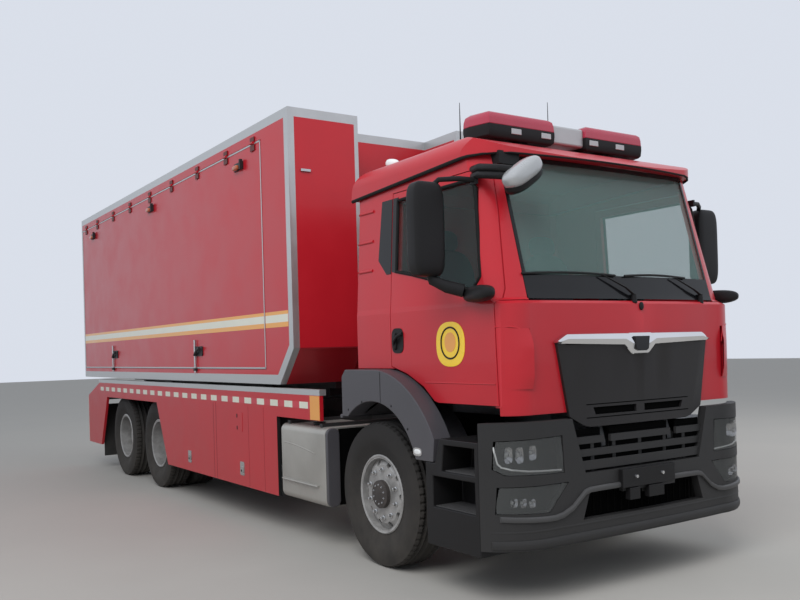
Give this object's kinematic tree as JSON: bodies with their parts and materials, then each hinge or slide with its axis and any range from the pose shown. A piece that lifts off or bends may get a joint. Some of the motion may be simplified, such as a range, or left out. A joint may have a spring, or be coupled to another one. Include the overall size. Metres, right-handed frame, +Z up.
{
  "type": "hooklift fire truck",
  "caption": "Day cab hooklift fire truck with a box container: steered front wheels, twin rear wheels, tilting cab, tipping hook frame and lifting doors.",
  "frame": {"origin": "on the ground at the middle of the truck's length and width", "axes": "+Z up, -Y the way the truck drives, +X its left side"},
  "size_m": [2.9856, 9.733, 3.6898],
  "materials": {
    "chassis_black": "satin chassis paint",
    "engine_grey": "cast block",
    "spring_steel": "painted spring steel",
    "hooklift_black": "satin structural paint",
    "bumper_grey": "moulded grained plastic",
    "lamp_lens": "clear lamp lens",
    "fender_grey": "moulded plastic",
    "step_black": "moulded plastic",
    "tank_aluminium": "brushed sheet",
    "truck_red": "gloss vehicle red",
    "rail_aluminium": "extruded profile",
    "cab_trim": "interior moulding",
    "clear_glass": "green tinted glass",
    "grille_grey": "moulded plastic",
    "seat_fabric": "woven seat cloth",
    "beacon_red": "tinted lens",
    "mirror_grey": "moulded plastic",
    "rod_chrome": "ground rod",
    "container_steel": "painted steel",
    "tyre_rubber": "rubber",
    "rim_steel": "silver wheel paint"
  },
  "bodies": {
    "chassis": {"frame": "chassis_black", "cross_members": "chassis_black", "driveline": "chassis_black", "engine": "engine_grey", "axles": "chassis_black", "springs": "spring_steel", "subframe": "hooklift_black", "bumper": "bumper_grey", "headlamps": "lamp_lens", "fenders": "fender_grey", "steps": "step_black", "tanks": "tank_aluminium", "skirts": "truck_red", "skirt_rails": "rail_aluminium", "rear_bar": "chassis_black"},
    "cab": {"cab_floor": "cab_trim", "cab_front": "truck_red", "cab_sides": "truck_red", "cab_rear": "truck_red", "cab_roof": "truck_red", "windscreen": "clear_glass", "grille": "grille_grey", "dash": "cab_trim", "seats": "seat_fabric", "seat_bases": "cab_trim", "light_bar": "beacon_red", "cab_fittings": "mirror_grey"},
    "tip_frame": {"tip_frame": "hooklift_black"},
    "load": {"jib": "hooklift_black", "hook_bar": "container_steel", "container_floor": "container_steel", "container_front": "truck_red", "container_frame": "rail_aluminium", "container_roof": "truck_red", "container_sides": "truck_red"},
    "side_door_left": {"side_door_left": "truck_red"},
    "side_door_right": {"side_door_right": "truck_red"},
    "rear_door": {"rear_door": "truck_red"},
    "lift_barrels": {"lift_barrels": "hooklift_black"},
    "lift_rods": {"lift_rods": "rod_chrome"},
    "knuckle_left": {"knuckle_left": "chassis_black"},
    "knuckle_right": {"knuckle_right": "chassis_black"},
    "door_left": {"door_left": "truck_red", "door_glass_left": "clear_glass", "mirror_left": "mirror_grey"},
    "door_right": {"door_right": "truck_red", "door_glass_right": "clear_glass", "mirror_right": "mirror_grey"},
    "wheel_front_left": {"tyre_front_left": "tyre_rubber", "rim_front_left": "rim_steel"},
    "wheel_front_right": {"tyre_front_right": "tyre_rubber", "rim_front_right": "rim_steel"},
    "wheel_rear_1_left": {"tyre_rear_1_left": "tyre_rubber", "rim_rear_1_left": "rim_steel"},
    "wheel_rear_1_right": {"tyre_rear_1_right": "tyre_rubber", "rim_rear_1_right": "rim_steel"},
    "wheel_rear_2_left": {"tyre_rear_2_left": "tyre_rubber", "rim_rear_2_left": "rim_steel"},
    "wheel_rear_2_right": {"tyre_rear_2_right": "tyre_rubber", "rim_rear_2_right": "rim_steel"}
  },
  "joints": [
    {"name": "cab_tilt", "type": "hinge", "parent": "chassis", "child": "cab", "pos_m": [0, -4.7565, 0.94], "axis": [1, 0, 0], "range_deg": [0, 60]},
    {"name": "door_left_swing", "type": "hinge", "parent": "cab", "child": "door_left", "pos_m": [1.122, -4.6665, 1.9], "axis": [0, 0, -1], "range_deg": [0, 70]},
    {"name": "steer_left", "type": "hinge", "parent": "chassis", "child": "knuckle_left", "pos_m": [0.85, -3.3665, 0.533], "axis": [0, 0, 1], "range_deg": [-36, 36]},
    {"name": "door_right_swing", "type": "hinge", "parent": "cab", "child": "door_right", "pos_m": [-1.122, -4.6665, 1.9], "axis": [0, 0, 1], "range_deg": [0, 70]},
    {"name": "steer_right", "type": "hinge", "parent": "chassis", "child": "knuckle_right", "pos_m": [-0.85, -3.3665, 0.533], "axis": [0, 0, 1], "range_deg": [-36, 36]},
    {"name": "roll_front_left", "type": "hinge", "parent": "knuckle_left", "child": "wheel_front_left", "pos_m": [1.045, -3.3665, 0.533], "axis": [1, 0, 0], "continuous": true},
    {"name": "roll_front_right", "type": "hinge", "parent": "knuckle_right", "child": "wheel_front_right", "pos_m": [-1.045, -3.3665, 0.533], "axis": [1, 0, 0], "continuous": true},
    {"name": "roll_rear_1_left", "type": "hinge", "parent": "chassis", "child": "wheel_rear_1_left", "pos_m": [0.8825, 1.7025, 0.533], "axis": [1, 0, 0], "continuous": true},
    {"name": "roll_rear_1_right", "type": "hinge", "parent": "chassis", "child": "wheel_rear_1_right", "pos_m": [-0.8825, 1.7025, 0.533], "axis": [1, 0, 0], "continuous": true},
    {"name": "roll_rear_2_left", "type": "hinge", "parent": "chassis", "child": "wheel_rear_2_left", "pos_m": [0.8825, 3.0875, 0.533], "axis": [1, 0, 0], "continuous": true},
    {"name": "roll_rear_2_right", "type": "hinge", "parent": "chassis", "child": "wheel_rear_2_right", "pos_m": [-0.8825, 3.0875, 0.533], "axis": [1, 0, 0], "continuous": true},
    {"name": "tip", "type": "hinge", "parent": "chassis", "child": "tip_frame", "pos_m": [0, 4.4835, 1.085], "axis": [-1, 0, 0], "range_deg": [0, 45]},
    {"name": "jib_slide", "type": "slide", "parent": "tip_frame", "child": "load", "axis": [0, 1, 0], "range_m": [0, 1]},
    {"name": "side_door_left_lift", "type": "hinge", "parent": "load", "child": "side_door_left", "pos_m": [1.264, 1.5935, 3.523], "axis": [0, -1, 0], "range_deg": [0, 90]},
    {"name": "side_door_right_lift", "type": "hinge", "parent": "load", "child": "side_door_right", "pos_m": [-1.264, 1.5935, 3.523], "axis": [0, 1, 0], "range_deg": [0, 90]},
    {"name": "rear_door_lift", "type": "hinge", "parent": "load", "child": "rear_door", "pos_m": [0, 4.8525, 3.523], "axis": [1, 0, 0], "range_deg": [0, 90]},
    {"name": "lift_pivot", "type": "hinge", "parent": "chassis", "child": "lift_barrels", "pos_m": [0, -0.4665, 0.86], "axis": [1, 0, 0], "range_deg": [0, 32.36]},
    {"name": "lift_stroke", "type": "slide", "parent": "lift_barrels", "child": "lift_rods", "axis": [0, 0.9955, 0.0948], "range_m": [0, 1.5618]}
  ],
  "couplings": [
    {"joint": "steer_right", "follows": "steer_left", "ratio": 1},
    {"joint": "lift_pivot", "follows": "tip", "ratio": 0.7081},
    {"joint": "lift_stroke", "follows": "tip", "m_per_rad": 1.9835}
  ]
}
